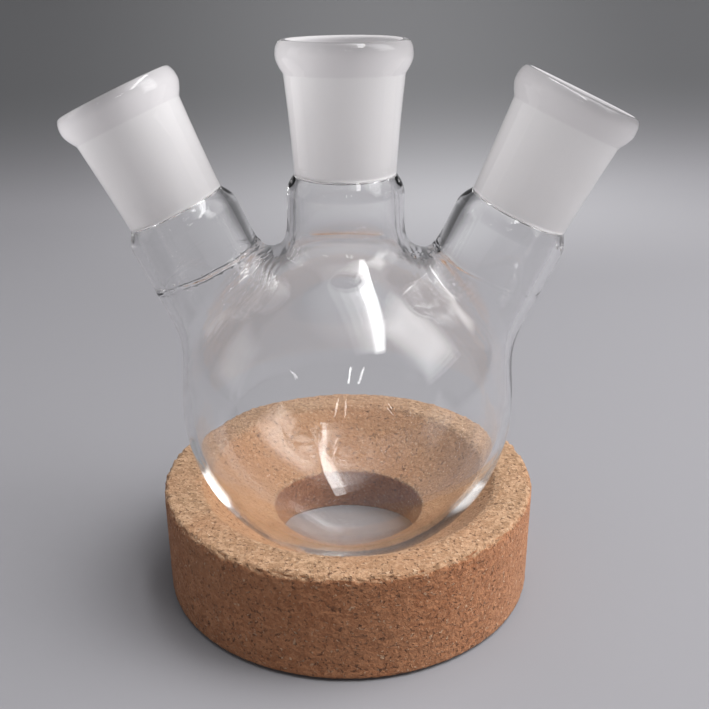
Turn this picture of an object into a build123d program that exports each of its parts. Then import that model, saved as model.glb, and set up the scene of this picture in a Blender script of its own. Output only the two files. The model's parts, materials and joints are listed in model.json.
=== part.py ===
"""Three-neck round bottom flask standing in a cork ring.

Millimetres, +Z up. The origin is on the table at the centre of the ring. The side necks lean
towards -X and +X in the XZ plane, and the centre neck stands on the Z axis.

The flask is sealed from seven pieces of glass: the bulb with its three pulled collars, three
plain neck tubes and three ground standard taper sockets. Each seal is a flat face across the
neck, and the two pieces that share it meet there.
"""
from build123d import *
from math import cos, radians, sin, sqrt
import os

os.makedirs("parts", exist_ok=True)

# ---------------------------------------------------------------- driving dimensions
# cork ring
RING_DIAMETER = 98.0
RING_HEIGHT = 29.0
RING_HOLE_DIAMETER = 44.0
RING_SEAT_DIAMETER = 80.0
RING_SEAT_CURVATURE = 52.0
RING_EDGE_RADIUS = 0.8
SEAT_CLEARANCE = 0.25

# bulb
BULB_DIAMETER = 85.0
BULB_WALL = 2.4
BULB_CENTRE_Z = 51.6
COLLAR_FILLET = 2.4
COLLAR_BORE_FILLET = 3.6
COLLAR_ROOT_LENGTH = 26.0

# neck tubes
TUBE_DIAMETER = 28.4
TUBE_WALL = 2.1
SHOULDER_LENGTH = 4.6

# ground sockets: 24 mm at the mouth, 29 mm of ground length, 1 in 10 taper on the diameter
GROUND_MOUTH_DIAMETER = 24.0
GROUND_LENGTH = 29.0
GROUND_TAPER = 0.1
LIP_LENGTH = 0.8
LIP_FLARE = 0.7
FOOT_LENGTH = 0.6
SOCKET_FOOT_WALL = 1.6
SOCKET_NECK_WALL = {"centre": 2.0, "left": 1.7, "right": 1.7}
BEAD_DIAMETER = {"centre": 31.6, "left": 30.4, "right": 30.4}
BEAD_LENGTH = 7.4
BEAD_WIDEST_BELOW_RIM = 3.2
BEAD_ROUNDING = 2.0

# where the necks stand
CENTRE_RIM_ABOVE_BULB = 88.4
CENTRE_SEAL_ABOVE_BULB = 44.2
SIDE_RIM_X = 54.3
SIDE_RIM_ABOVE_BULB = 76.8
SIDE_NECK_LEAN = 25.0
SIDE_SEAL_BELOW_RIM = 46.9

# ---------------------------------------------------------------- derived dimensions
BULB_RADIUS = BULB_DIAMETER / 2
CAVITY_RADIUS = BULB_RADIUS - BULB_WALL
BULB_CENTRE = Vector(0, 0, BULB_CENTRE_Z)
TUBE_RADIUS = TUBE_DIAMETER / 2
TUBE_BORE_RADIUS = TUBE_RADIUS - TUBE_WALL
MOUTH_RADIUS = GROUND_MOUTH_DIAMETER / 2
THROAT_RADIUS = MOUTH_RADIUS - GROUND_LENGTH * GROUND_TAPER / 2
SOCKET_FOOT_RADIUS = THROAT_RADIUS + SOCKET_FOOT_WALL
SOCKET_LENGTH = LIP_LENGTH + GROUND_LENGTH + FOOT_LENGTH
CENTRE_SEAL_BELOW_RIM = CENTRE_RIM_ABOVE_BULB - CENTRE_SEAL_ABOVE_BULB

# Each neck has a plane on its rim, with the plane's z axis pointing out of the mouth.
LEAN = radians(SIDE_NECK_LEAN)
SIDE_RIM_Z = BULB_CENTRE_Z + SIDE_RIM_ABOVE_BULB
RIM_PLANES = {
    "centre": Plane((0, 0, BULB_CENTRE_Z + CENTRE_RIM_ABOVE_BULB)),
    "left": Plane((-SIDE_RIM_X, 0, SIDE_RIM_Z), x_dir=(0, 1, 0), z_dir=(-sin(LEAN), 0, cos(LEAN))),
    "right": Plane((SIDE_RIM_X, 0, SIDE_RIM_Z), x_dir=(0, 1, 0), z_dir=(sin(LEAN), 0, cos(LEAN))),
}
SEAL_BELOW_RIM = {
    "centre": CENTRE_SEAL_BELOW_RIM,
    "left": SIDE_SEAL_BELOW_RIM,
    "right": SIDE_SEAL_BELOW_RIM,
}


def half_section(rim):
    """The plane through a neck's axis: local x is the radius and local y runs out of the mouth."""
    return Plane(rim.origin, x_dir=rim.x_dir, z_dir=-rim.y_dir)


def neck_axis(rim):
    """A neck's centre line."""
    return Axis(rim.origin, rim.z_dir)


# ---------------------------------------------------------------- cork ring
# The flask rests on the top edge of the hole, where the seat dips to its lowest.
hole_radius = RING_HOLE_DIAMETER / 2
seat_radius = RING_SEAT_DIAMETER / 2
outer_radius = RING_DIAMETER / 2
seat_gap_radius = BULB_RADIUS + SEAT_CLEARANCE
seat_low_z = BULB_CENTRE_Z - sqrt(seat_gap_radius**2 - hole_radius**2)

with BuildPart() as cork_ring:
    with BuildSketch(Plane.XZ):
        with BuildLine():
            Polyline(
                (hole_radius, seat_low_z),
                (hole_radius, 0),
                (outer_radius, 0),
                (outer_radius, RING_HEIGHT),
                (seat_radius, RING_HEIGHT),
            )
            RadiusArc(
                (seat_radius, RING_HEIGHT),
                (hole_radius, seat_low_z),
                RING_SEAT_CURVATURE,
            )
        make_face()
    revolve(axis=Axis.Z)
    round_edges = cork_ring.edges().filter_by(GeomType.CIRCLE)
    fillet(round_edges.filter_by(lambda edge: edge.radius > seat_radius), RING_EDGE_RADIUS)
cork_ring.part.label = "cork_ring"
export_step(cork_ring.part, "parts/cork_ring.step")


# ---------------------------------------------------------------- bulb
SURFACE_TOLERANCE = 0.01
PROBE_ALONG_EDGE = 0.3


def collar_edges(part, sphere_radius, bore_radius):
    """The closed curves where three neck cylinders leave a sphere about the bulb's centre."""

    def leaves_sphere(edge):
        spot = edge.position_at(PROBE_ALONG_EDGE)
        on_sphere = abs((spot - BULB_CENTRE).length - sphere_radius) < SURFACE_TOLERANCE
        radii = [(spot - rim.origin).cross(rim.z_dir).length for rim in RIM_PLANES.values()]
        return on_sphere and any(abs(radius - bore_radius) < SURFACE_TOLERANCE for radius in radii)

    return part.edges().filter_by(leaves_sphere)


def collar_root_depth(name):
    """How far below its rim a collar's cylinder is rooted, well inside the bulb."""
    return SEAL_BELOW_RIM[name] + COLLAR_ROOT_LENGTH


with BuildPart() as cavity:
    with Locations(Location(BULB_CENTRE, (0, 0, 90))):
        Sphere(CAVITY_RADIUS)
    for name, rim in RIM_PLANES.items():
        with Locations(rim.offset(-collar_root_depth(name)).location):
            Cylinder(
                TUBE_BORE_RADIUS,
                collar_root_depth(name),
                align=(Align.CENTER, Align.CENTER, Align.MIN),
            )
    fillet(collar_edges(cavity, CAVITY_RADIUS, TUBE_BORE_RADIUS), COLLAR_BORE_FILLET)

with BuildPart() as bulb:
    with Locations(Location(BULB_CENTRE, (0, 0, 90))):
        Sphere(BULB_RADIUS)
    for name, rim in RIM_PLANES.items():
        with Locations(rim.offset(-collar_root_depth(name)).location):
            Cylinder(
                TUBE_RADIUS,
                collar_root_depth(name) - SEAL_BELOW_RIM[name],
                align=(Align.CENTER, Align.CENTER, Align.MIN),
            )
    fillet(collar_edges(bulb, BULB_RADIUS, TUBE_RADIUS), COLLAR_FILLET)
    add(cavity.part, mode=Mode.SUBTRACT)
bulb.part.label = "bulb"
export_step(bulb.part, "parts/bulb.step")


# ---------------------------------------------------------------- neck tubes
def neck_tube(name):
    """A plain tube with a shoulder that draws in to meet the foot of its socket."""
    rim = RIM_PLANES[name]
    top = -SOCKET_LENGTH
    shoulder = top - SHOULDER_LENGTH
    bottom = -SEAL_BELOW_RIM[name]
    with BuildPart() as tube:
        with BuildSketch(half_section(rim)):
            with BuildLine():
                Line((THROAT_RADIUS, top), (SOCKET_FOOT_RADIUS, top))
                Spline(
                    (SOCKET_FOOT_RADIUS, top),
                    (TUBE_RADIUS, shoulder),
                    tangents=[(0.35, -1), (0, -1)],
                )
                Polyline(
                    (TUBE_RADIUS, shoulder),
                    (TUBE_RADIUS, bottom),
                    (TUBE_BORE_RADIUS, bottom),
                    (TUBE_BORE_RADIUS, shoulder),
                )
                Spline(
                    (TUBE_BORE_RADIUS, shoulder),
                    (THROAT_RADIUS, top),
                    tangents=[(0, 1), (-0.25, 1)],
                )
            make_face()
        revolve(axis=neck_axis(rim))
    return tube.part


# ---------------------------------------------------------------- ground sockets
def ground_socket(name):
    """A ground taper with a rolled bead round its mouth and a short clear foot below."""
    rim = RIM_PLANES[name]
    neck_radius = MOUTH_RADIUS + SOCKET_NECK_WALL[name]
    bead_radius = BEAD_DIAMETER[name] / 2
    ground_top = -LIP_LENGTH
    ground_foot = ground_top - GROUND_LENGTH
    foot = -SOCKET_LENGTH
    with BuildPart() as socket:
        with BuildSketch(half_section(rim)):
            with BuildLine():
                Polyline(
                    (MOUTH_RADIUS, ground_top),
                    (THROAT_RADIUS, ground_foot),
                    (THROAT_RADIUS, foot),
                    (SOCKET_FOOT_RADIUS, foot),
                    (SOCKET_FOOT_RADIUS, ground_foot),
                    (neck_radius, -BEAD_LENGTH),
                )
                Spline(
                    (neck_radius, -BEAD_LENGTH),
                    (bead_radius, -BEAD_WIDEST_BELOW_RIM),
                    tangents=[(1, 0.4), (0, 1)],
                )
                Spline(
                    (bead_radius, -BEAD_WIDEST_BELOW_RIM),
                    (bead_radius - BEAD_ROUNDING, 0),
                    tangents=[(0, 1), (-1, 0)],
                )
                Line((bead_radius - BEAD_ROUNDING, 0), (MOUTH_RADIUS + LIP_FLARE, 0))
                ThreePointArc(
                    (MOUTH_RADIUS + LIP_FLARE, 0),
                    (MOUTH_RADIUS + 0.25 * LIP_FLARE, 0.3 * ground_top),
                    (MOUTH_RADIUS, ground_top),
                )
            make_face()
        revolve(axis=neck_axis(rim))
    return socket.part


for neck in RIM_PLANES:
    neck_part = neck_tube(neck)
    neck_part.label = f"{neck}_neck_tube"
    export_step(neck_part, f"parts/{neck}_neck_tube.step")
    socket_part = ground_socket(neck)
    socket_part.label = f"{neck}_socket"
    export_step(socket_part, f"parts/{neck}_socket.step")
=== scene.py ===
"""Looks of the three-neck round bottom flask in its cork ring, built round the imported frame.

Everything is in metres in the frame's own axes: the ring stands on z = 0 and the side necks lean
towards -X and +X. Each glass piece is a closed mesh of its own. The flame seals between them are
flat caps that let light straight through, so that the glass reads as one blown body.
"""
import json
from math import cos, pi, radians, sin

import bmesh
import bpy
import numpy as np
from mathutils import Matrix, Vector, noise


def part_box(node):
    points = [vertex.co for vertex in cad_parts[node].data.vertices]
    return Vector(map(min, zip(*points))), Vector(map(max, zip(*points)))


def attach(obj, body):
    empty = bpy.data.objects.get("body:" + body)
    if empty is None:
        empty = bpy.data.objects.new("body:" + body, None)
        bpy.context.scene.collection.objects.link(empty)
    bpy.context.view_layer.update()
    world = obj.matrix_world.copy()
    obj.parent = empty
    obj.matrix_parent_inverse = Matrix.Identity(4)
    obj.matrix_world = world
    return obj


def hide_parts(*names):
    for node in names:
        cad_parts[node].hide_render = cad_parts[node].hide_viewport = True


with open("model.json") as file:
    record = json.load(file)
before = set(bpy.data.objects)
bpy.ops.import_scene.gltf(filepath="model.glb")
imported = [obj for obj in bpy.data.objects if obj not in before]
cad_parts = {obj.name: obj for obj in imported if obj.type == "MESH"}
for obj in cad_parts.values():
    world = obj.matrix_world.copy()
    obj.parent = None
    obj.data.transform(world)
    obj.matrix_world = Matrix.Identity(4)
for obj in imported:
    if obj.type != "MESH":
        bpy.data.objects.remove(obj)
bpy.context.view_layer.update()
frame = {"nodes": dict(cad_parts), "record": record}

MM = 0.001


# ---------------------------------------------------------------- camera
CAMERA_DISTANCE = 0.2192
CAMERA_HEIGHT = 0.1534
CAMERA_AZIMUTH = radians(3.35)
CAMERA_PAN = radians(0.5)
CAMERA_PITCH = radians(22.45)
CAMERA_ROLL = radians(-0.35)
CAMERA_LENS = 46.8
SENSOR_WIDTH = 36.0
CLIP_START = 0.01
CLIP_END = 20


def make_camera():
    """A close camera that looks down at the flask, a little round to the right of its front."""
    data = bpy.data.cameras.new("camera")
    data.lens = CAMERA_LENS
    data.sensor_width = SENSOR_WIDTH
    data.clip_start = CLIP_START
    data.clip_end = CLIP_END
    camera = bpy.data.objects.new("camera", data)
    bpy.context.scene.collection.objects.link(camera)
    place = Vector((
        CAMERA_DISTANCE * sin(CAMERA_AZIMUTH),
        -CAMERA_DISTANCE * cos(CAMERA_AZIMUTH),
        CAMERA_HEIGHT,
    ))
    heading = CAMERA_PAN - CAMERA_AZIMUTH
    turn = Matrix.Rotation(-heading, 4, "Z")
    tilt = Matrix.Rotation(pi / 2 - CAMERA_PITCH, 4, "X")
    roll = Matrix.Rotation(CAMERA_ROLL, 4, "Z")
    camera.matrix_world = Matrix.Translation(place) @ turn @ tilt @ roll
    bpy.context.scene.camera = camera


# ---------------------------------------------------------------- meshes
def make_object(name, verts, faces, materials, face_slots=None):
    """A smooth mesh object from arrays of points and faces, with a material slot for each face."""
    mesh = bpy.data.meshes.new(name)
    mesh.from_pydata([tuple(v) for v in verts], [], [tuple(f) for f in faces])
    for material in materials:
        mesh.materials.append(material)
    if face_slots is not None:
        mesh.polygons.foreach_set("material_index", face_slots)
    mesh.polygons.foreach_set("use_smooth", [True] * len(mesh.polygons))
    mesh.update()
    obj = bpy.data.objects.new(name, mesh)
    bpy.context.scene.collection.objects.link(obj)
    return obj


def grid_faces(rows, columns, first=0):
    """Quads of a grid whose columns close on themselves. Row by row, point i, j is i*columns+j."""
    row, column = np.meshgrid(np.arange(rows - 1), np.arange(columns), indexing="ij")
    following = (column + 1) % columns
    quads = np.stack([
        row * columns + column,
        row * columns + following,
        (row + 1) * columns + following,
        (row + 1) * columns + column,
    ], axis=-1)
    return quads.reshape(-1, 4) + first


# ---------------------------------------------------------------- the glass, from the frame
def mesh_points(mesh):
    """A mesh's points as an array."""
    points = np.empty(len(mesh.vertices) * 3, np.float32)
    mesh.vertices.foreach_get("co", points)
    return points.reshape(-1, 3).astype(float)


class Neck:
    """One neck: its rim, its axis out of the mouth, and the radii of its tube and socket."""

    def __init__(self, name):
        mounts = {mount["name"]: mount for mount in frame["record"]["mounts"]}
        mount = mounts[f"{name}_socket_mouth"]
        self.name = name
        self.rim = np.array(mount["pos_m"], float)
        self.axis = np.array(mount["axis"], float)
        self.axis /= np.linalg.norm(self.axis)
        self.side = np.array((0.0, 1.0, 0.0))
        self.across = np.cross(self.side, self.axis)
        depth, radius = self.measure(mesh_points(frame["nodes"][f"{name}_neck_tube"].data))
        self.foot = depth.min()
        self.seal = depth.max()
        at_seal = depth > self.seal - 0.1 * MM
        at_foot = depth < self.foot + 0.1 * MM
        self.tube_radius = radius[at_seal].max()
        self.bore_radius = radius[at_seal].min()
        self.foot_radius = radius[at_foot].max()
        self.throat_radius = radius[at_foot].min()
        depth, radius = self.measure(mesh_points(frame["nodes"][f"{name}_socket"].data))
        self.bead_radius = radius.max()

    def measure(self, points):
        """Depth below the rim and distance from the axis, for each point."""
        offset = points - self.rim
        depth = -offset @ self.axis
        radius = np.linalg.norm(offset + depth[:, None] * self.axis, axis=1)
        return depth, radius

    def angle(self, points):
        """The angle round the axis, for each point."""
        offset = points - self.rim
        return np.arctan2(offset @ self.side, offset @ self.across)

    def points(self, depth, radius, angle):
        """Points from their depth below the rim, distance from the axis and angle round it."""
        spokes = (
            np.cos(angle)[..., None] * self.across + np.sin(angle)[..., None] * self.side
        )
        return self.rim - depth[..., None] * self.axis + radius[..., None] * spokes


necks = [Neck(name) for name in ("centre", "left", "right")]
bulb_low, bulb_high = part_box("bulb")
BULB_RADIUS = (bulb_high.y - bulb_low.y) / 2
BULB_CENTRE = np.array((0.0, 0.0, bulb_low.z + BULB_RADIUS))

BULB_WALL = 2.2 * MM
BULB_FLOOR_WALL = 3.2 * MM
SHOULDER = 4.6 * MM
COLLAR_BLEND = 9.0 * MM
INNER_COLLAR_BLEND = COLLAR_BLEND + 0.75 * BULB_WALL
ROOT_INSIDE_BULB = 22.0 * MM
FRONT = radians(-90)

# How deep each neck is pinched in just above its flame seal. It shows most at the front.
SEAL_PINCH = {"centre": 0.0, "left": 0.26 * MM, "right": 0.05 * MM}
SEAL_GROOVE = 0.26 * MM
GROOVE_ABOVE_SEAL = 0.9 * MM
PINCH_REACH = 1.5 * MM

# Ripples of glass that flowed at the roots of the side necks.
RIPPLE_HEIGHT = {"centre": 0.0, "left": 0.15 * MM, "right": 0.09 * MM}
RIPPLE_LENGTH = 1.9 * MM
RIPPLE_SPREAD = 6 * MM
RIPPLE_DEPTH = 4 * MM
RIPPLE_INWARD = 29 * MM

# Each random field: its seed and the distance over which it changes.
OUTER_DRIFT = (3, 19 * MM)
INNER_DRIFT = (4, 19 * MM)
WALL_DRIFT = (5, 34 * MM)
FLOW_DRIFT = (11, 11 * MM)
PATCH_DRIFT = (12, 8 * MM)
PINCH_DRIFT = (21, 3.1 * MM)
SEAL_DRIFT = (22, 9 * MM)


def waves(points, drift):
    """A smooth random field between about -1 and 1, from its seed and the size of its waves."""
    seed, size = drift
    total = np.zeros(len(points))
    random = np.random.default_rng(seed)
    for _ in range(6):
        direction = random.normal(size=3)
        direction *= random.uniform(0.7, 1.3) * 2 * pi / (size * np.linalg.norm(direction))
        total += np.sin(points @ direction + random.uniform(0, 2 * pi))
    return total / 3.0


def ease(value):
    """Smooth step from 0 to 1."""
    t = np.clip(value, 0, 1)
    return t * t * (3 - 2 * t)


def smooth_union(a, b, blend):
    """The nearer of two distances, rounded where they are within blend of each other."""
    meet = np.maximum(blend - np.abs(a - b), 0) / blend
    return np.minimum(a, b) - meet**3 * blend / 6


def tube_profile(neck, depth, outer):
    """A neck tube's radius at each depth: a shoulder under the socket, then a plain tube."""
    top, full = (
        (neck.foot_radius, neck.tube_radius) if outer else (neck.throat_radius, neck.bore_radius)
    )
    t = np.clip((depth - neck.foot) / SHOULDER, 0, 1)
    return top + (full - top) * np.sin(t * pi / 2)


def seal_pinch(neck, points, depth, tube):
    """How far the outside of a neck is pinched in by its flame seal, with a ridge beside it."""
    own = np.exp(-((tube / PINCH_REACH) ** 2))
    facing = 0.5 + 0.5 * np.cos(neck.angle(points) - FRONT)
    ragged = 1 + 0.5 * waves(points, PINCH_DRIFT)
    below = depth - neck.seal + GROOVE_ABOVE_SEAL
    line = (below + 0.25 * MM * waves(points, SEAL_DRIFT)) / SEAL_GROOVE
    groove = np.exp(-(line**2)) - 0.7 * np.exp(-((line - 2.6) ** 2))
    return SEAL_PINCH[neck.name] * own * facing * ragged * groove


def flow_ripples(neck, points, bulb, tube):
    """Low ripples in the glass round a neck's root, towards the middle and the front."""
    run = 2 * pi * (bulb - tube) / RIPPLE_LENGTH
    flow = np.sin(run + 2.4 * waves(points, FLOW_DRIFT))
    root = np.exp(-(((bulb - tube) / RIPPLE_SPREAD) ** 2)) * np.exp(-np.abs(bulb) / RIPPLE_DEPTH)
    inward = np.exp(-((points[:, 0] / RIPPLE_INWARD) ** 4))
    forward = ease((4 * MM - points[:, 1]) / (8 * MM))
    patchy = ease(0.6 + 0.7 * waves(points, PATCH_DRIFT))
    return RIPPLE_HEIGHT[neck.name] * flow * root * inward * forward * patchy


def glass_gap(points, outer):
    """Distance from the glass's outer or inner surface, negative towards the hollow."""
    from_centre = points - BULB_CENTRE
    reach = np.linalg.norm(from_centre, axis=1)
    down = np.clip(-from_centre[:, 2] / np.maximum(reach, 1e-6), 0, 1)
    radius = BULB_RADIUS
    if not outer:
        radius = BULB_RADIUS - BULB_WALL - (BULB_FLOOR_WALL - BULB_WALL) * down**2
        radius = radius + 0.08 * MM * waves(points, WALL_DRIFT)
    blend = COLLAR_BLEND if outer else INNER_COLLAR_BLEND
    bulb = reach - radius
    gap = bulb
    for neck in necks:
        depth, distance = neck.measure(points)
        root = depth - neck.seal - ROOT_INSIDE_BULB
        tube = np.maximum(distance - tube_profile(neck, depth, outer), root)
        gap = smooth_union(gap, tube, blend)
        if outer and neck.name != "centre":
            gap = gap + flow_ripples(neck, points, bulb, tube)
            gap = gap + seal_pinch(neck, points, depth, tube)
    if outer:
        return gap + 0.03 * MM * waves(points, OUTER_DRIFT)
    return gap + 0.04 * MM * waves(points, INNER_DRIFT)


SLOPE_STEP = 0.02 * MM
LONGEST_MOVE = 2 * MM


def slope_of_gap(points, outer):
    """The direction in which the gap grows fastest, times how fast it grows, at each point."""
    slopes = []
    for axis in np.eye(3):
        ahead = glass_gap(points + SLOPE_STEP * axis, outer)
        behind = glass_gap(points - SLOPE_STEP * axis, outer)
        slopes.append((ahead - behind) / (2 * SLOPE_STEP))
    return np.stack(slopes, axis=1)


def settle(points, outer, steps):
    """Moves points along the gap's slope until they lie on the glass surface."""
    for _ in range(steps):
        gap = glass_gap(points, outer)
        slope = slope_of_gap(points, outer)
        size = np.maximum((slope**2).sum(1), 0.1)
        step = np.clip(gap / size, -LONGEST_MOVE, LONGEST_MOVE)
        points = points - step[:, None] * slope
    return points


def relax(points, edges, share):
    """Moves each point part of the way to the mean of its neighbours."""
    total = np.zeros_like(points)
    count = np.zeros(len(points))
    for a, b in ((0, 1), (1, 0)):
        np.add.at(total, edges[:, a], points[edges[:, b]])
        np.add.at(count, edges[:, a], 1)
    return points + share * (total / np.maximum(count, 1)[:, None] - points)


def shade_from_gap(mesh, bubble_normals=()):
    """Gives a mesh the glass surface's own normals, so that shading runs on over the seals."""
    points = mesh_points(mesh)
    points = points[:len(points) - len(bubble_normals)]
    outside = np.abs(glass_gap(points, True)) < np.abs(glass_gap(points, False))
    normals = np.where(
        outside[:, None], slope_of_gap(points, True), -slope_of_gap(points, False)
    )
    normals /= np.linalg.norm(normals, axis=1)[:, None]
    normals = [tuple(n) for n in normals] + [tuple(n) for n in bubble_normals]
    mesh.normals_split_custom_set_from_vertices(normals)


BULB_GRID = 0.9 * MM
COLLAR_STUB = 4 * MM
RELAX_ROUNDS = 3
RELAX_SHARE = 0.6
SEAL_MARGIN = 2 * MM


def blank(outer):
    """A rough union of the bulb and its collars, as an even quad mesh, before it is settled."""
    bm = bmesh.new()
    wall = 0 if outer else BULB_WALL
    bmesh.ops.create_uvsphere(
        bm, u_segments=96, v_segments=48, radius=BULB_RADIUS - wall,
        matrix=Matrix.Translation(BULB_CENTRE),
    )
    for neck in necks:
        radius = neck.tube_radius if outer else neck.bore_radius
        length = ROOT_INSIDE_BULB + COLLAR_STUB
        middle = neck.rim - neck.axis * (neck.seal - COLLAR_STUB + length / 2)
        turn = Vector((0, 0, 1)).rotation_difference(Vector(neck.axis)).to_matrix().to_4x4()
        bmesh.ops.create_cone(
            bm, cap_ends=True, segments=72, radius1=radius, radius2=radius, depth=length,
            matrix=Matrix.Translation(middle) @ turn,
        )
    mesh = bpy.data.meshes.new("blank")
    bm.to_mesh(mesh)
    bm.free()
    obj = bpy.data.objects.new("blank", mesh)
    bpy.context.scene.collection.objects.link(obj)
    remesh = obj.modifiers.new("remesh", "REMESH")
    remesh.mode = "VOXEL"
    remesh.voxel_size = BULB_GRID
    depsgraph = bpy.context.evaluated_depsgraph_get()
    even = bpy.data.meshes.new_from_object(obj.evaluated_get(depsgraph))
    bpy.data.objects.remove(obj)
    bpy.data.meshes.remove(mesh)
    return even


def near_seal(neck, spot):
    """True for a spot on a neck's own cylinder, above or just below its seal."""
    depth, radius = neck.measure(np.array([spot]))
    return depth[0] < neck.seal + SEAL_MARGIN and radius[0] < neck.tube_radius + SEAL_MARGIN


def bulb_skin(outer):
    """One surface of the bulb, settled on the glass and cut off at the three seals."""
    mesh = blank(outer)
    points = mesh_points(mesh)
    edges = np.empty(len(mesh.edges) * 2, np.int32)
    mesh.edges.foreach_get("vertices", edges)
    edges = edges.reshape(-1, 2)
    points = settle(points, outer, 4)
    for _ in range(RELAX_ROUNDS):
        points = settle(relax(points, edges, RELAX_SHARE), outer, 2)
    points = settle(points, outer, 2)
    mesh.vertices.foreach_set("co", points.astype(np.float32).ravel())
    bm = bmesh.new()
    bm.from_mesh(mesh)
    bpy.data.meshes.remove(mesh)
    for neck in necks:
        near = [face for face in bm.faces if near_seal(neck, face.calc_center_median())]
        parts = dict.fromkeys(near)
        for face in near:
            parts.update(dict.fromkeys(face.verts))
            parts.update(dict.fromkeys(face.edges))
        bmesh.ops.bisect_plane(
            bm, geom=list(parts), dist=1e-7, clear_outer=True,
            plane_co=Vector(neck.rim - neck.axis * neck.seal), plane_no=Vector(neck.axis),
        )
    if not outer:
        bmesh.ops.reverse_faces(bm, faces=bm.faces)
    return bm


def on_seal(neck, edge):
    """True for an edge that lies in a neck's seal."""
    depth, _ = neck.measure(np.array([vert.co for vert in edge.verts]))
    return abs(depth - neck.seal).max() < 0.02 * MM and near_seal(neck, edge.verts[0].co)


def make_bulb(glass, seal):
    """The bulb: an outer and an inner skin, joined by a flat ring at each of the three seals."""
    bm = bulb_skin(True)
    inner = bulb_skin(False)
    skin = bpy.data.meshes.new("inner_skin")
    inner.to_mesh(skin)
    inner.free()
    bm.from_mesh(skin)
    bpy.data.meshes.remove(skin)
    for face in bm.faces:
        face.smooth = True
    for neck in necks:
        rims = [edge for edge in bm.edges if edge.is_boundary and on_seal(neck, edge)]
        filled = bmesh.ops.triangle_fill(
            bm, edges=rims, use_beauty=True, normal=Vector(neck.axis)
        )
        for part in filled["geom"]:
            if isinstance(part, bmesh.types.BMFace):
                part.material_index = 1
                part.smooth = False
                part.normal_update()
                if part.normal.dot(Vector(neck.axis)) < 0:
                    part.normal_flip()
    mesh = bpy.data.meshes.new("flask_bulb")
    bm.to_mesh(mesh)
    bm.free()
    shade_from_gap(mesh)
    mesh.materials.append(glass)
    mesh.materials.append(seal)
    obj = bpy.data.objects.new("flask_bulb", mesh)
    bpy.context.scene.collection.objects.link(obj)
    return obj


ROUND = 160
TUBE_ROWS = 72


def rings(neck, depths, outer):
    """Rings of points round a neck tube, settled on the glass surface."""
    angle = np.linspace(0, 2 * pi, ROUND, endpoint=False)
    depth, angle = np.meshgrid(depths, angle, indexing="ij")
    radius = tube_profile(neck, depth, outer)
    for _ in range(5):
        points = neck.points(depth, radius, angle)
        gap = glass_gap(points.reshape(-1, 3), outer).reshape(radius.shape)
        join = ease((depth - neck.foot) / (2 * MM))
        radius = radius - np.clip(gap, -1 * MM, 1 * MM) * join
    return neck.points(depth, radius, angle).reshape(-1, 3)


BUBBLE_SEED = 8
LEFT_BUBBLES = 30


def bubbles(neck):
    """Air bubbles caught in a neck's wall: depth below the rim, angle round it and radius."""
    if neck.name == "right":
        return [(neck.foot + 3.2 * MM, radians(-28), 0.62 * MM)]
    if neck.name == "centre":
        return []
    random = np.random.default_rng(BUBBLE_SEED)
    found = []
    for angle in random.uniform(-175, -20, LEFT_BUBBLES):
        depth = neck.seal - random.uniform(0.25, 1.9) * MM
        found.append((depth, radians(angle), random.uniform(0.1, 0.26) * MM))
    return found


def bubble_shells(neck):
    """The bubbles as small closed shells that face their own hollow: points, faces, normals."""
    bm = bmesh.new()
    bmesh.ops.create_icosphere(bm, subdivisions=2, radius=1.0)
    ball = np.array([vert.co for vert in bm.verts])
    sides = np.array([[vert.index for vert in face.verts][::-1] for face in bm.faces])
    bm.free()
    points, faces, normals = [], [], []
    wall_middle = (neck.tube_radius + neck.bore_radius) / 2
    for depth, angle, size in bubbles(neck):
        centre = neck.points(np.array([depth]), np.array([wall_middle]), np.array([angle]))
        faces.append(sides + len(points) * len(ball))
        points.append(centre + size * ball)
        normals.append(-ball)
    if not points:
        return np.empty((0, 3)), np.empty((0, 3), int), np.empty((0, 3))
    return np.concatenate(points), np.concatenate(faces), np.concatenate(normals)


def make_tube(neck, glass, seal):
    """A neck tube from under its socket down to its seal with the bulb's collar."""
    depths = np.linspace(neck.foot, neck.seal, TUBE_ROWS)
    outside = rings(neck, depths, True)
    inside = rings(neck, depths, False)
    n = len(depths)
    skin = grid_faces(n, ROUND)
    lining = grid_faces(n, ROUND, n * ROUND)[:, ::-1]
    column = np.arange(ROUND)
    following = (column + 1) % ROUND
    last = (n - 1) * ROUND
    top = np.stack([column, n * ROUND + column, n * ROUND + following, following], axis=1)
    low = np.stack([
        last + column, last + following, last + n * ROUND + following, last + n * ROUND + column,
    ], axis=1)
    walls = np.concatenate([skin, lining, top, low])[:, ::-1]
    air, air_faces, air_normals = bubble_shells(neck)
    verts = np.concatenate([outside, inside, air])
    faces = list(walls) + list(air_faces + 2 * n * ROUND)
    slots = [0] * (len(skin) + len(lining)) + [1] * (len(top) + len(low)) + [0] * len(air_faces)
    tube = make_object(f"{neck.name}_tube", verts, faces, [glass, seal], slots)
    shade_from_gap(tube.data, air_normals)
    return tube


CURVE_STEPS = 12


def curve(points, count):
    """A smooth line of count points through a few profile points, evenly spread."""
    points = np.array(points, float)
    ahead = np.vstack([2 * points[0] - points[1], points, 2 * points[-1] - points[-2]])
    line = []
    for i in range(1, len(ahead) - 2):
        p0, p1, p2, p3 = ahead[i - 1:i + 3]
        for t in np.linspace(0, 1, CURVE_STEPS, endpoint=False):
            line.append(0.5 * (
                2 * p1 + (p2 - p0) * t + (2 * p0 - 5 * p1 + 4 * p2 - p3) * t**2
                + (3 * p1 - p0 - 3 * p2 + p3) * t**3
            ))
    line = np.array(line + [points[-1]])
    run = np.concatenate([[0], np.cumsum(np.linalg.norm(np.diff(line, axis=0), axis=1))])
    at = np.linspace(0, run[-1], count)
    return np.stack([np.interp(at, run, line[:, k]) for k in (0, 1)], axis=1)


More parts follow.
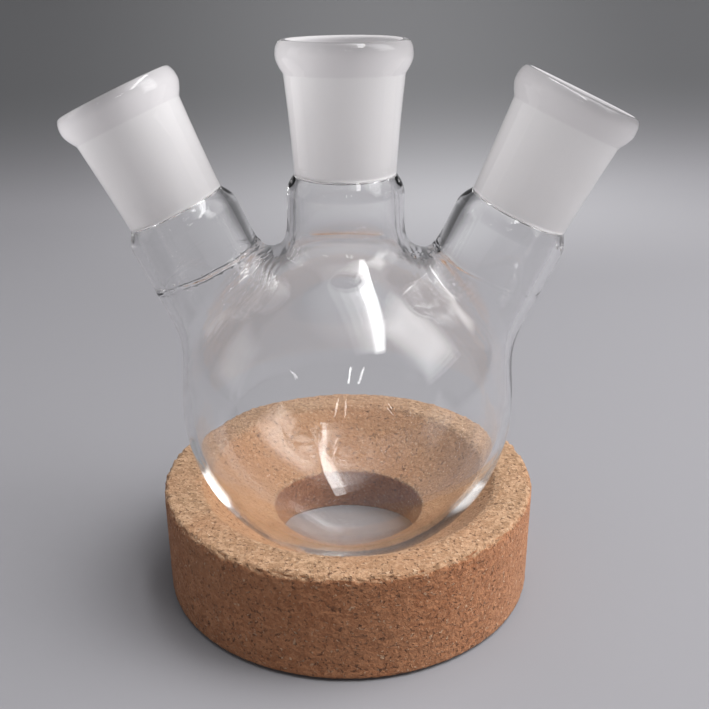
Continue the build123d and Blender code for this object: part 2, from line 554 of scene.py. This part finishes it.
GROUND_TOP = 0.8 * MM
GROUND_LENGTH = 29.0 * MM
GROUND_FOOT = GROUND_TOP + GROUND_LENGTH
MOUTH_RADIUS = 12.0 * MM
BEAD_LENGTH = 7.4 * MM
BEAD_STEP = 1.75 * MM
BEAD_START = BEAD_LENGTH + 1.0 * MM
CONE_ROWS = 46
BEAD_ROWS = 80
TAPER_ROWS = 60
LIP_ROWS = 12
WOBBLE_DOWN = 0.10 * MM
WOBBLE_IN = 0.07 * MM
WOBBLE_REACH = 5 * MM
WOBBLE_PHASE = (31.0, 17.0, 23.0)


def socket_profile(neck):
    """A socket's profile of depths and radii, and the row at which its ground face starts."""
    bead = neck.bead_radius
    upper = bead - BEAD_STEP
    outside = curve([
        (neck.foot, neck.foot_radius),
        (GROUND_FOOT, neck.foot_radius + 0.02 * MM),
        (18 * MM, (upper + neck.foot_radius) / 2 - 0.05 * MM),
        (BEAD_START, upper - 0.08 * MM),
    ], CONE_ROWS)
    rolled = curve([
        (BEAD_START, upper - 0.08 * MM),
        (BEAD_LENGTH + 0.35 * MM, upper - 0.02 * MM),
        (BEAD_LENGTH + 0.05 * MM, upper + 0.05 * MM),
        (BEAD_LENGTH - 0.35 * MM, upper + 0.30 * MM),
        (BEAD_LENGTH - 1.6 * MM, upper + 1.05 * MM),
        (BEAD_LENGTH - 3.0 * MM, bead - 0.12 * MM),
        (3.3 * MM, bead),
        (1.8 * MM, bead - 0.15 * MM),
        (0.7 * MM, bead - 0.60 * MM),
        (0.15 * MM, bead - 1.15 * MM),
        (0.03 * MM, bead - 1.9 * MM),
        (0.10 * MM, bead - 2.6 * MM),
        (0.35 * MM, MOUTH_RADIUS + 0.3 * MM),
        (GROUND_TOP, MOUTH_RADIUS),
    ], BEAD_ROWS)[1:]
    taper = np.stack([
        np.linspace(GROUND_TOP, GROUND_FOOT, TAPER_ROWS),
        np.linspace(MOUTH_RADIUS, neck.throat_radius, TAPER_ROWS),
    ], axis=1)[1:]
    foot = np.array([(neck.foot, neck.throat_radius)])
    profile = np.concatenate([outside, rolled, taper, foot])
    return profile, len(outside) + len(rolled) - LIP_ROWS


def make_socket(neck, glass, ground, seal):
    """A ground socket: polished outside with a rolled bead, ground inside its taper."""
    profile, first_ground = socket_profile(neck)
    angle = np.linspace(0, 2 * pi, ROUND, endpoint=False)
    depth = np.repeat(profile[:, :1], ROUND, axis=1)
    radius = np.repeat(profile[:, 1:], ROUND, axis=1)
    wobble = np.exp(-depth / WOBBLE_REACH)
    start = neck.rim @ WOBBLE_PHASE
    depth = depth + WOBBLE_DOWN * wobble * (np.sin(2 * angle + start) + 1) / 2
    radius = radius - WOBBLE_IN * wobble * (np.sin(3 * angle + 2 * start) + 1) / 2
    verts = neck.points(depth, radius, np.broadcast_to(angle, depth.shape)).reshape(-1, 3)
    rows = len(profile)
    faces = grid_faces(rows, ROUND)
    column = np.arange(ROUND)
    following = (column + 1) % ROUND
    last = (rows - 1) * ROUND
    cap = np.stack([column, last + column, last + following, following], axis=1)
    slots = np.repeat(np.arange(rows - 1) >= first_ground, ROUND).astype(int)
    slots = np.concatenate([slots, np.full(ROUND, 2)])
    faces = np.concatenate([faces, cap])
    socket = make_object(
        f"{neck.name}_ground_socket", verts, faces, [glass, ground, seal], slots
    )
    below_rim = socket.data.attributes.new("below_rim", "FLOAT", "POINT")
    below_rim.data.foreach_set("value", depth.ravel())
    return socket


# ---------------------------------------------------------------- cork ring
RING_AROUND = 480
SEAT_RADIUS = 40.0 * MM
HOLE_RADIUS = 22.0 * MM
GRANULE_SIZE = 1.5 * MM
PORE_SPACING = 3.1 * MM
CRUMB_SIZE = 2.2 * MM
FINE_CRUMB_SIZE = 0.9 * MM
SAG_SIZE = 21 * MM
FOOT_UNDERCUT = 2.6 * MM
FOOT_HEIGHT = 1.1 * MM
WORN_EDGE = 0.9 * MM
SEAT_SAG = 1.35 * MM

# How crumbly each edge of the ring is.
FOOT_WEAR = 0.1
TOP_WEAR = 1.0
LIP_WEAR = 0.35


def cork_relief(spot, edge):
    """How far the cork's skin stands in at a spot: granules, their seams, pores and worn edges."""
    near, cells = noise.voronoi(Vector(spot) / GRANULE_SIZE)
    seam = max(0.0, 1 - (near[1] - near[0]) / 0.22)
    grain = noise.cell(cells[0] * 7.3)
    pores, pore_cells = noise.voronoi(Vector(spot) / PORE_SPACING)
    chosen = noise.cell(pore_cells[0] * 5.1) > 0.25
    pore = max(0.0, 1 - pores[0] / 0.26) if chosen else 0.0
    crumble = noise.noise(Vector(spot) / CRUMB_SIZE)
    crumble += 0.6 * noise.noise(Vector(spot) / FINE_CRUMB_SIZE)
    sag = noise.noise(Vector(spot) / SAG_SIZE)
    return MM * (
        0.05 * seam + 0.04 * grain + 0.30 * pore + 0.05 * sag
        + edge * (0.28 + 0.62 * crumble)
    )


def ring_profile():
    """The ring's closed profile of radii and heights, and how crumbly it is at each point."""
    _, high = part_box("cork_ring")
    outer = high.x
    height = high.z
    points = mesh_points(frame["nodes"]["cork_ring"].data)
    reach = np.linalg.norm(points[:, :2], axis=1)
    hole = reach.min()
    lip = reach[points[:, 2] > height - 0.05 * MM].min()
    seat_low = points[reach < hole + 0.05 * MM][:, 2].max()
    hole_foot = (hole, 0.0)
    foot = (outer - FOOT_UNDERCUT, 0.0)
    heel = (outer - 0.8 * MM, 0.45 * MM)
    side_foot = (outer, FOOT_HEIGHT)
    side_top = (outer, height - WORN_EDGE)
    shoulder = (outer - 0.27 * MM, height - 0.27 * MM)
    top_outer = (outer - WORN_EDGE, height)
    top_inner = (lip + 0.6 * MM, height)
    seat_top = (lip - 0.5 * MM, height - 0.45 * MM)
    dip = ((lip + hole) / 2, (height + seat_low) / 2 - SEAT_SAG)
    seat_foot = (hole + 0.3 * MM, seat_low + 0.1 * MM)
    hole_top = (hole, seat_low - 0.4 * MM)
    # Each stretch of the profile: its points, its rows and how crumbly it is.
    stretches = [
        ([hole_foot, foot], 16, 0.0),
        ([foot, heel, side_foot], 5, FOOT_WEAR),
        ([side_foot, side_top], 56, 0.0),
        ([side_top, shoulder, top_outer], 5, TOP_WEAR),
        ([top_outer, top_inner], 17, 0.0),
        ([top_inner, seat_top], 3, LIP_WEAR),
        ([seat_top, dip, seat_foot], 50, 0.0),
        ([seat_foot, hole_top], 2, 0.0),
        ([hole_top, hole_foot], 20, 0.0),
    ]
    profile = np.concatenate([curve(line, count + 1)[:-1] for line, count, _ in stretches])
    wear = np.concatenate([np.full(count, amount) for _, count, amount in stretches])
    wear = (np.roll(wear, 1) + 2 * wear + np.roll(wear, -1)) / 4
    return profile, wear


def make_ring(cork):
    """The cork ring: a turned profile with worn edges, open pores and raised granules."""
    profile, wear = ring_profile()
    ahead = np.roll(profile, -1, axis=0) - np.roll(profile, 1, axis=0)
    inward = np.stack([-ahead[:, 1], ahead[:, 0]], axis=1)
    inward /= np.linalg.norm(inward, axis=1)[:, None]
    on_table = profile[:, 1] < 0.01 * MM
    angles = np.linspace(0, 2 * pi, RING_AROUND, endpoint=False)
    verts = []
    for (radius, z), (to_r, to_z), edge, flat in zip(profile, inward, wear, on_table):
        for angle in angles:
            c, s = cos(angle), sin(angle)
            depth = 0.0 if flat else cork_relief((radius * c, radius * s, z), edge)
            r = radius + depth * to_r
            verts.append((r * c, r * s, max(z + depth * to_z, 0.0)))
    rows = len(profile)
    faces = grid_faces(rows + 1, RING_AROUND) % (rows * RING_AROUND)
    return make_object("ring_of_cork", verts, faces, [cork])


# ---------------------------------------------------------------- materials
class Nodes:
    """A new material whose shader nodes are added and joined in one call each."""

    def __init__(self, name):
        self.material = bpy.data.materials.new(name)
        self.material.use_nodes = True
        self.tree = self.material.node_tree
        self.tree.nodes.clear()

    def add(self, kind, inputs=None, **settings):
        """Adds a node. An input is either a value or another node's output socket."""
        node = self.tree.nodes.new("ShaderNode" + kind)
        for key, value in settings.items():
            setattr(node, key, value)
        for key, value in (inputs or {}).items():
            if isinstance(value, bpy.types.NodeSocket):
                self.tree.links.new(value, node.inputs[key])
            else:
                node.inputs[key].default_value = value
        return node

    def math(self, operation, a, b=0.0):
        """The result of a Math node on two values."""
        return self.add("Math", {0: a, 1: b}, operation=operation).outputs[0]

    def between(self, value, low, high, to_low=0.0, to_high=1.0):
        """Maps a value from low..high to to_low..to_high, smoothly and without overshoot."""
        node = self.add("MapRange", {
            "Value": value,
            "From Min": low,
            "From Max": high,
            "To Min": to_low,
            "To Max": to_high,
        }, interpolation_type="SMOOTHSTEP")
        return node.outputs[0]

    def mix(self, factor, a, b):
        """Mixes two colours."""
        node = self.add("Mix", data_type="RGBA")
        for key, value in ((0, factor), (6, a), (7, b)):
            if isinstance(value, bpy.types.NodeSocket):
                self.tree.links.new(value, node.inputs[key])
            else:
                node.inputs[key].default_value = value
        return node.outputs[2]

    def finish(self, shader):
        """Joins a shader to the output and gives back the material."""
        self.add("OutputMaterial", {"Surface": shader.outputs[0]})
        return self.material

    def lets_light_through(self, shader, tint, soft_light_too=True):
        """Mixes in a Transparent shader for rays to the lamps, and for those of soft light."""
        path = self.add("LightPath")
        passing = path.outputs["Is Shadow Ray"]
        if soft_light_too:
            passing = self.math("MAXIMUM", passing, path.outputs["Is Diffuse Ray"])
        clear = self.add("BsdfTransparent", {"Color": (*tint, 1)})
        return self.add("MixShader", {0: passing, 1: shader.outputs[0], 2: clear.outputs[0]})


GLASS_IOR = 1.474
GLASS_TINT = (0.97, 0.97, 0.97)

# The frosting down the taper, and darker frosting at the mouth and behind the bead that is painted
# shade.
FROST_MOUTH_PAINTED_SHADE = (0.58, 0.565, 0.575, 1)
FROST_BEAD_PAINTED_SHADE = (0.695, 0.675, 0.685, 1)
FROST_TAPER = (0.745, 0.73, 0.735, 1)
FROST_SHADOW = (0.5, 0.5, 0.5)


def glass_material():
    """Clear borosilicate glass."""
    nodes = Nodes("clear_glass")
    shader = nodes.add("BsdfPrincipled", {
        "Base Color": (1.0, 1.0, 1.0, 1),
        "Roughness": 0.0,
        "IOR": GLASS_IOR,
        "Transmission Weight": 1.0,
    })
    return nodes.finish(nodes.lets_light_through(shader, GLASS_TINT))


def ground_material():
    """The ground face inside a socket: white frosting, with painted shade behind the bead and at
    the mouth.
    """
    nodes = Nodes("ground_face")
    below_rim = nodes.add("Attribute", attribute_name="below_rim").outputs["Fac"]
    # Painted shade: the frosting is darker behind the bead.
    full = nodes.between(below_rim, BEAD_LENGTH - 0.9 * MM, BEAD_LENGTH - 0.1 * MM)
    white = nodes.mix(full, FROST_BEAD_PAINTED_SHADE, FROST_TAPER)
    # Painted shade: the frosting is darker just inside the mouth.
    mouth = nodes.between(below_rim, GROUND_TOP, GROUND_TOP + 2.5 * MM)
    white = nodes.mix(mouth, FROST_MOUTH_PAINTED_SHADE, white)
    scattered_back = nodes.add("BsdfPrincipled", {
        "Base Color": white,
        "Roughness": 0.6,
        "Specular IOR Level": 0.0,
    })
    scattered_on = nodes.add("BsdfTranslucent", {"Color": white})
    frosting = nodes.add("MixShader", {
        0: 0.5, 1: scattered_back.outputs[0], 2: scattered_on.outputs[0],
    })
    return nodes.finish(nodes.lets_light_through(frosting, FROST_SHADOW, soft_light_too=False))


def seal_material():
    """The faces where two glass pieces are fused: light goes straight through."""
    nodes = Nodes("fused_face")
    return nodes.finish(nodes.add("BsdfTransparent"))


# The side colours are painted shade and the paler top colours painted light: lit and shaded copies
# of the cork.
CORK_SIDE_SHADED_PALE = (0.412, 0.184, 0.089, 1)
CORK_SIDE_SHADED_DARK = (0.270, 0.104, 0.045, 1)
CORK_TOP_LIT_PALE = (0.405, 0.258, 0.158, 1)
CORK_TOP_LIT_DARK = (0.235, 0.136, 0.075, 1)
# The seat's colour is painted light: warmer than the rest, for the bowl under the bulb.
CORK_SEAT_PAINTED_LIGHT = (0.42, 0.213, 0.103, 1)
CORK_CLOUD = (0.32, 0.155, 0.080, 1)
CORK_PORE = (0.105, 0.040, 0.020, 1)
CORK_FLECK = (0.60, 0.42, 0.28, 1)


def cork_grain(nodes, place, wandered):
    """Fine granules and lumps of cork as one value."""
    granules = nodes.add("TexVoronoi", {"Vector": wandered, "Scale": 1150.0})
    lumps = nodes.add("TexVoronoi", {"Vector": wandered, "Scale": 450.0})
    fine = nodes.add("TexNoise", {"Vector": place, "Scale": 2400.0, "Detail": 2.0})
    shade = nodes.add("SeparateColor", {"Color": granules.outputs["Color"]}).outputs[0]
    lump = nodes.add("SeparateColor", {"Color": lumps.outputs["Color"]}).outputs[1]
    shade = nodes.math("MULTIPLY", shade, 0.34)
    lump = nodes.math("MULTIPLY", lump, 0.16)
    grain = nodes.math("ADD", shade, lump)
    return nodes.math("ADD", grain, nodes.math("MULTIPLY", fine.outputs[0], 0.55))


def cork_colour(nodes, place, grain, pore, fleck):
    """Cork's colour: redder sides as painted shade, a paler top and a warmer seat as painted
    light, broad clouds, dark pores and pale flecks.
    """
    upward = nodes.add("SeparateXYZ", {"Vector": nodes.add("NewGeometry").outputs["Normal"]})
    # Painted light and shade: faces that look up get the paler top colours, faces that look
    # sideways the darker, redder side colours.
    top = nodes.between(upward.outputs["Z"], 0.15, 0.75)
    pale = nodes.mix(top, CORK_SIDE_SHADED_PALE, CORK_TOP_LIT_PALE)
    dark = nodes.mix(top, CORK_SIDE_SHADED_DARK, CORK_TOP_LIT_DARK)
    colour = nodes.mix(nodes.between(grain, 0.32, 0.80), dark, pale)
    flat = nodes.add("VectorMath", {0: place, 1: (1.0, 1.0, 0.0)}, operation="MULTIPLY")
    reach = nodes.add("VectorMath", {0: flat.outputs[0]}, operation="LENGTH").outputs["Value"]
    # Painted light: the seat between the lip and the hole gets a warmer colour, in place of light
    # that doesn't reach it.
    seat = nodes.between(reach, SEAT_RADIUS, SEAT_RADIUS - 2 * MM, 0.0, 0.5)
    seat = nodes.math("MULTIPLY", seat, nodes.between(reach, HOLE_RADIUS, HOLE_RADIUS + 1 * MM))
    colour = nodes.mix(seat, colour, CORK_SEAT_PAINTED_LIGHT)
    broad = nodes.add("TexNoise", {"Vector": place, "Scale": 60.0, "Detail": 4.0})
    tone = nodes.between(broad.outputs[0], 0.35, 0.7, 0.0, 0.35)
    colour = nodes.mix(tone, colour, CORK_CLOUD)
    colour = nodes.mix(nodes.math("MULTIPLY", pore, 0.75), colour, CORK_PORE)
    return nodes.mix(nodes.math("MULTIPLY", fleck, 0.55), colour, CORK_FLECK)


def cork_material():
    """Pressed cork: fine granules, ragged dark pores, pale flecks, painted light on the top and
    painted shade on the redder sides.
    """
    nodes = Nodes("pressed_cork")
    place = nodes.add("TexCoord").outputs["Object"]
    wander = nodes.add("TexNoise", {"Vector": place, "Scale": 1100.0, "Detail": 2.0})
    shift = nodes.add(
        "VectorMath", {0: wander.outputs["Color"], "Scale": 0.9 * MM}, operation="SCALE"
    )
    wandered = nodes.add("VectorMath", {0: place, 1: shift.outputs[0]}, operation="ADD")
    wandered = wandered.outputs[0]
    grain = cork_grain(nodes, place, wandered)
    holes = nodes.add("TexNoise", {"Vector": wandered, "Scale": 1150.0, "Detail": 3.0})
    flecks = nodes.add("TexNoise", {"Vector": wandered, "Scale": 980.0, "Detail": 2.0})
    pore = nodes.between(holes.outputs[0], 0.61, 0.68)
    fleck = nodes.between(flecks.outputs[0], 0.64, 0.70)
    rough = nodes.add("TexNoise", {"Vector": place, "Scale": 900.0, "Detail": 3.0})
    height = nodes.math("ADD", grain, nodes.math("MULTIPLY", fleck, 0.5))
    height = nodes.math("ADD", height, nodes.math("MULTIPLY", rough.outputs[0], 1.6))
    height = nodes.math("SUBTRACT", height, nodes.math("MULTIPLY", pore, 1.6))
    bump = nodes.add("Bump", {"Height": height, "Strength": 1.0, "Distance": 0.30 * MM})
    shader = nodes.add("BsdfPrincipled", {
        "Base Color": cork_colour(nodes, place, grain, pore, fleck),
        "Roughness": 0.9,
        "Specular IOR Level": 0.3,
        "Sheen Weight": 0.12,
        "Sheen Roughness": 0.5,
        "Sheen Tint": (1.0, 0.80, 0.64, 1),
        "Normal": bump.outputs[0],
    })
    return nodes.finish(shader)


# ---------------------------------------------------------------- stage
SWEEP_WIDTH = 9.0
SWEEP_FRONT = -9.0
SWEEP_TOP = 2.6
BEND_START = 0.42
BEND_RADIUS = 0.26
BEND_STEPS = 24
BACKDROP_TURN = radians(13)

# The painted pool of light at the back of the table: where it starts, its middle and its reach,
# and the paper's colours, with painted shade where the paper rises into the wall.
GLOW_START = 0.22
GLOW_X = 0.13
GLOW_REACH = 0.30
PAPER_FRONT = (0.202, 0.198, 0.210, 1)
PAPER_BACK = (0.195, 0.191, 0.203, 1)
PAPER_BACK_PAINTED_GLOW = (0.312, 0.308, 0.322, 1)
PAPER_WALL_PAINTED_SHADE = (0.062, 0.062, 0.065, 1)
PAPER_WALL_PAINTED_GLOW = (0.106, 0.106, 0.110, 1)


def make_stage():
    """A pale table that sweeps up into a plain backdrop, a little aslant behind the object."""
    rows = [(SWEEP_FRONT, 0.0)]
    for i in range(BEND_STEPS + 1):
        a = pi / 2 * i / BEND_STEPS
        rows.append((BEND_START + BEND_RADIUS * sin(a), BEND_RADIUS * (1 - cos(a))))
    rows.append((BEND_START + BEND_RADIUS, SWEEP_TOP))
    verts = [(x, y, z) for y, z in rows for x in (-SWEEP_WIDTH, SWEEP_WIDTH)]
    faces = [(2 * i, 2 * i + 1, 2 * i + 3, 2 * i + 2) for i in range(len(rows) - 1)]
    sweep = make_object("sweep", verts, faces, [sweep_material()])
    sweep.rotation_euler.z = BACKDROP_TURN


def sweep_material():
    """Matt paper with a painted pool of light in the middle of the back of the table, and painted
    shade where it rises.
    """
    nodes = Nodes("sweep")
    place = nodes.add("SeparateXYZ", {"Vector": nodes.add("TexCoord").outputs["Object"]})
    far = nodes.between(place.outputs["Y"], GLOW_START, BEND_START)
    # Painted shade: the paper is darker where it rises into the wall.
    shaded_rise = nodes.between(place.outputs["Y"], BEND_START, BEND_START + 0.7 * BEND_RADIUS)
    # Painted pool of light: paler paper on the table and the wall near x = GLOW_X.
    aside = nodes.math("ABSOLUTE", nodes.math("SUBTRACT", place.outputs["X"], GLOW_X))
    glow = nodes.between(aside, GLOW_REACH, 0.0)
    table = nodes.mix(glow, PAPER_BACK, PAPER_BACK_PAINTED_GLOW)
    wall = nodes.mix(glow, PAPER_WALL_PAINTED_SHADE, PAPER_WALL_PAINTED_GLOW)
    colour = nodes.mix(far, PAPER_FRONT, table)
    colour = nodes.mix(shaded_rise, colour, wall)
    return nodes.finish(nodes.add("BsdfPrincipled", {"Base Color": colour, "Roughness": 0.8}))


# ---------------------------------------------------------------- lights
STRIP_X = 0.28
STRIP_Y = -0.12
STRIP_HEIGHT = 1.0
STRIP_SPIN = radians(21.6)

# Fainter lamps beside the strip: how far from its middle, how wide and how strong each one is.
STRIP_GLOWS = (
    (0.093, 0.04, 0.48),
    (0.143, 0.06, 0.45),
    (0.213, 0.08, 0.36),
    (0.293, 0.08, 0.16),
)

# A soft window's panes: their sizes against the whole window, and how far apart they stand, as
# shares of the way to the object.
PANE_SIZES = (0.60, 0.74, 0.88, 1.02, 1.16)
FIRST_PANE = 0.03
PANE_STEP = 0.006

# Lamps that light the object and don't show in the glass: name, place and power.
FILLS = (
    ("right_fill", (0.75, 0.1, 0.95), 16.0),
    ("left_fill", (-0.7, 0.0, 0.8), 0.5),
    ("low_fill", (1.1, 0.15, 0.3), 4.0),
)
FILL_SIZE = 0.8
THIN_LAMP_WIDTH = 0.03

ROOM_COLOUR = (0.97, 0.975, 1.0, 1)
ROOM_GLOW_TOWARDS = (0.12, -0.08, 0.98)
ROOM_GLOW = {"From Min": 0.80, "From Max": 1.0, "To Min": 0.30, "To Max": 1.1}


def add_light(name, place, aim, size, power, spin=0.0):
    """A soft rectangular lamp at place, facing aim."""
    data = bpy.data.lights.new(name, "AREA")
    data.shape = "RECTANGLE"
    data.size, data.size_y = size
    data.energy = power
    lamp = bpy.data.objects.new(name, data)
    bpy.context.scene.collection.objects.link(lamp)
    direction = Vector(aim) - Vector(place)
    turn = direction.to_track_quat("-Z", "Y").to_matrix().to_4x4()
    lamp.matrix_world = Matrix.Translation(place) @ turn @ Matrix.Rotation(spin, 4, "Z")
    return lamp


def add_soft_window(name, place, aim, size, power):
    """A window whose light falls off towards its edges: panes of growing size, a little apart."""
    share = power / sum(part**2 for part in PANE_SIZES)
    for number, part in enumerate(PANE_SIZES):
        spot = Vector(place).lerp(Vector(aim), FIRST_PANE - PANE_STEP * number)
        add_light(name, spot, aim, (size[0] * part, size[1] * part), share * part**2)


def make_lights():
    """Lamps and windows that show in the glass, soft fill that doesn't, and a grey room."""
    above = (STRIP_X, STRIP_Y, STRIP_HEIGHT)
    below = (STRIP_X, STRIP_Y, 0)
    add_light("strip", above, below, (0.145, 1.15), 5.0, spin=STRIP_SPIN)
    for beside, width, power in STRIP_GLOWS:
        x = STRIP_X - beside * cos(STRIP_SPIN)
        y = STRIP_Y - beside * sin(STRIP_SPIN)
        above = (x, y, STRIP_HEIGHT)
        add_light("strip_glow", above, (x, y, 0), (width, 1.1), power, spin=STRIP_SPIN)
    add_soft_window("window", (0.95, -0.15, 1.0), (0, 0, 0.06), (0.75, 1.1), 8.0)
    for name, x in (("near_lamp", 0.12), ("far_lamp", 0.33)):
        add_light(name, (x, -1.3, 1.0), (x, -1.3, 0), (THIN_LAMP_WIDTH, 0.5), 0.5)
    add_soft_window("left_window", (-0.95, 0.0, 0.38), (0, 0, 0.05), (0.42, 0.52), 0.5)
    add_light("left_lamp", (-0.95, -1.2, 1.0), (-0.95, -1.2, 0), (THIN_LAMP_WIDTH, 0.3), 0.3)
    for name, place, power in FILLS:
        fill = add_light(name, place, (0, 0, 0.05), (FILL_SIZE, FILL_SIZE), power)
        fill.visible_glossy = False
        fill.visible_transmission = False
    make_room()


def make_room():
    """An even grey room that glows softly round the strip on its ceiling."""
    world = bpy.data.worlds.new("room")
    bpy.context.scene.world = world
    world.use_nodes = True
    tree = world.node_tree
    direction = tree.nodes.new("ShaderNodeTexCoord").outputs["Generated"]
    towards = tree.nodes.new("ShaderNodeVectorMath")
    towards.operation = "DOT_PRODUCT"
    towards.inputs[1].default_value = Vector(ROOM_GLOW_TOWARDS).normalized()
    glow = tree.nodes.new("ShaderNodeMapRange")
    glow.interpolation_type = "SMOOTHERSTEP"
    for key, value in ROOM_GLOW.items():
        glow.inputs[key].default_value = value
    background = tree.nodes["Background"]
    background.inputs["Color"].default_value = ROOM_COLOUR
    tree.links.new(direction, towards.inputs[0])
    tree.links.new(towards.outputs["Value"], glow.inputs["Value"])
    tree.links.new(glow.outputs[0], background.inputs["Strength"])


# ---------------------------------------------------------------- the scene
GLASS_BOUNCES = 48
DIFFUSE_BOUNCES = 8

make_camera()
make_stage()
make_lights()
glass = glass_material()
ground = ground_material()
seal = seal_material()

pieces = [(make_bulb(glass, seal), "bulb", "clear_glass")]
for neck in necks:
    pieces.append((make_tube(neck, glass, seal), f"{neck.name}_neck_tube", "clear_glass"))
    pieces.append((make_socket(neck, glass, ground, seal), f"{neck.name}_socket", "ground_glass"))
for piece, node, slot in pieces:
    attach(piece, "flask")
    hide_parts(node)

ring = make_ring(cork_material())
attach(ring, "ring")
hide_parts("cork_ring")

scene = bpy.context.scene
scene.view_settings.view_transform = "Standard"
scene.cycles.max_bounces = GLASS_BOUNCES
scene.cycles.diffuse_bounces = DIFFUSE_BOUNCES
scene.cycles.glossy_bounces = GLASS_BOUNCES
scene.cycles.transmission_bounces = GLASS_BOUNCES
scene.cycles.transparent_max_bounces = GLASS_BOUNCES
scene.cycles.caustics_refractive = False
scene.cycles.caustics_reflective = False
